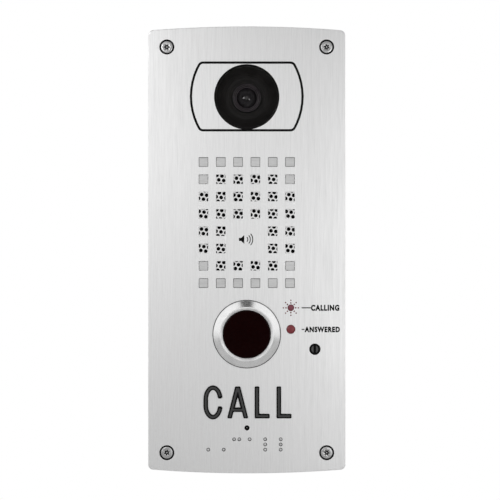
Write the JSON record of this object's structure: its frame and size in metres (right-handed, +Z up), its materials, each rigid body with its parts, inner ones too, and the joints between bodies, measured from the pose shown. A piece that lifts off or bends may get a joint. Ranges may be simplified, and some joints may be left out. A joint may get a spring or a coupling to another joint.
{
  "type": "door intercom panel",
  "caption": "Flush-mounted stainless steel door call station with camera window, square-hole speaker grille, round call button, indicator lights, tactile lettering and rear electronics housing.",
  "frame": {"origin": "the point on the wall's surface behind the middle of the faceplate: y = 0 is the wall and the back of the gasket", "axes": "+Z up the panel, +Y into the wall, +X to the right as seen from the front, which faces -Y"},
  "size_m": [0.0952, 0.057, 0.216],
  "materials": {
    "brushed_steel": "vertically brushed stainless, satin",
    "perforated_steel": "bright perforated stainless sheet",
    "turned_steel": "turned and satin polished stainless",
    "screw_steel": "plain stainless screw",
    "zinc_plate": "zinc plated",
    "brass": "plain turned brass",
    "letter_black": "satin black, slightly worn on top",
    "black_plastic": "moulded black, fine texture",
    "black_foam": "closed-cell foam",
    "black_rubber": "moulded rubber",
    "smoked_window": "dark polycarbonate, polished",
    "lens_glass": "coated optical glass",
    "button_red": "very dark red, polished",
    "led_red": "unlit red lens",
    "sensor_grey": "dark grey moulded window",
    "acoustic_cloth": "black woven",
    "cone_paper": "treated black paper",
    "ferrite": "sintered ferrite",
    "aluminium": "plain extruded",
    "circuit_board": "green solder mask",
    "connector_green": "moulded green",
    "reset_cap": "moulded off-white"
  },
  "bodies": {
    "panel": {"faceplate": "brushed_steel", "grille_sheet": "perforated_steel", "button_bezel": "turned_steel", "security_screw_1": "screw_steel", "security_screw_2": "screw_steel", "security_screw_3": "screw_steel", "security_screw_4": "screw_steel", "housing_screw_1": "screw_steel", "housing_screw_2": "screw_steel", "housing_screw_3": "screw_steel", "housing_screw_4": "screw_steel", "speaker_frame": "zinc_plate", "speaker_yoke": "zinc_plate", "speaker_nut_1": "zinc_plate", "speaker_nut_2": "zinc_plate", "speaker_nut_3": "zinc_plate", "speaker_nut_4": "zinc_plate", "button_ring_nut": "brass", "standoff_1": "brass", "standoff_2": "brass", "standoff_3": "brass", "standoff_4": "brass", "letter_c": "letter_black", "letter_a": "letter_black", "letter_l_first": "letter_black", "letter_l_second": "letter_black", "rear_housing": "black_plastic", "camera_housing": "black_plastic", "lens_barrel": "black_plastic", "button_carrier": "black_plastic", "switch_body": "black_plastic", "ethernet_jack": "black_plastic", "wall_gasket": "black_foam", "speaker_gasket": "black_foam", "camera_window_seal": "black_rubber", "button_seal": "black_rubber", "speaker_surround": "black_rubber", "microphone_boot": "black_rubber", "camera_window": "smoked_window", "lens_glass": "lens_glass", "calling_led": "led_red", "answered_led": "led_red", "light_sensor": "sensor_grey", "grille_cloth": "acoustic_cloth", "speaker_magnet": "ferrite", "poe_transformer": "ferrite", "heat_sink": "aluminium", "microphone": "aluminium", "main_board": "circuit_board", "indicator_board": "circuit_board", "camera_board": "circuit_board", "button_led_board": "circuit_board", "terminal_block": "connector_green"},
    "call_button": {"button_lens": "button_red", "button_plunger": "black_plastic", "button_spring": "zinc_plate"},
    "switch_actuator": {"switch_plunger": "brass"},
    "loudspeaker_cone": {"speaker_cone": "cone_paper"},
    "reset_cap": {"reset_button": "reset_cap"}
  },
  "joints": [
    {"name": "call_button_press", "type": "slide", "parent": "panel", "child": "call_button", "axis": [0, 1, 0], "range_m": [0, 0.0025], "stiffness_N_per_m": 500, "springref_m": -0.004, "deforming": ["button_spring"]},
    {"name": "switch_plunger_press", "type": "slide", "parent": "panel", "child": "switch_actuator", "axis": [0, 1, 0], "range_m": [0, 0.0025], "stiffness_N_per_m": 200, "springref_m": -0.002},
    {"name": "speaker_cone_stroke", "type": "slide", "parent": "panel", "child": "loudspeaker_cone", "axis": [0, 1, 0], "range_m": [-0.0005, 0.0005], "stiffness_N_per_m": 1500},
    {"name": "reset_button_press", "type": "slide", "parent": "panel", "child": "reset_cap", "axis": [0, -1, 0], "range_m": [0, 0.0004], "stiffness_N_per_m": 3000, "springref_m": -0.0001}
  ],
  "couplings": [
    {"joint": "switch_plunger_press", "follows": "call_button_press", "ratio": 1}
  ]
}
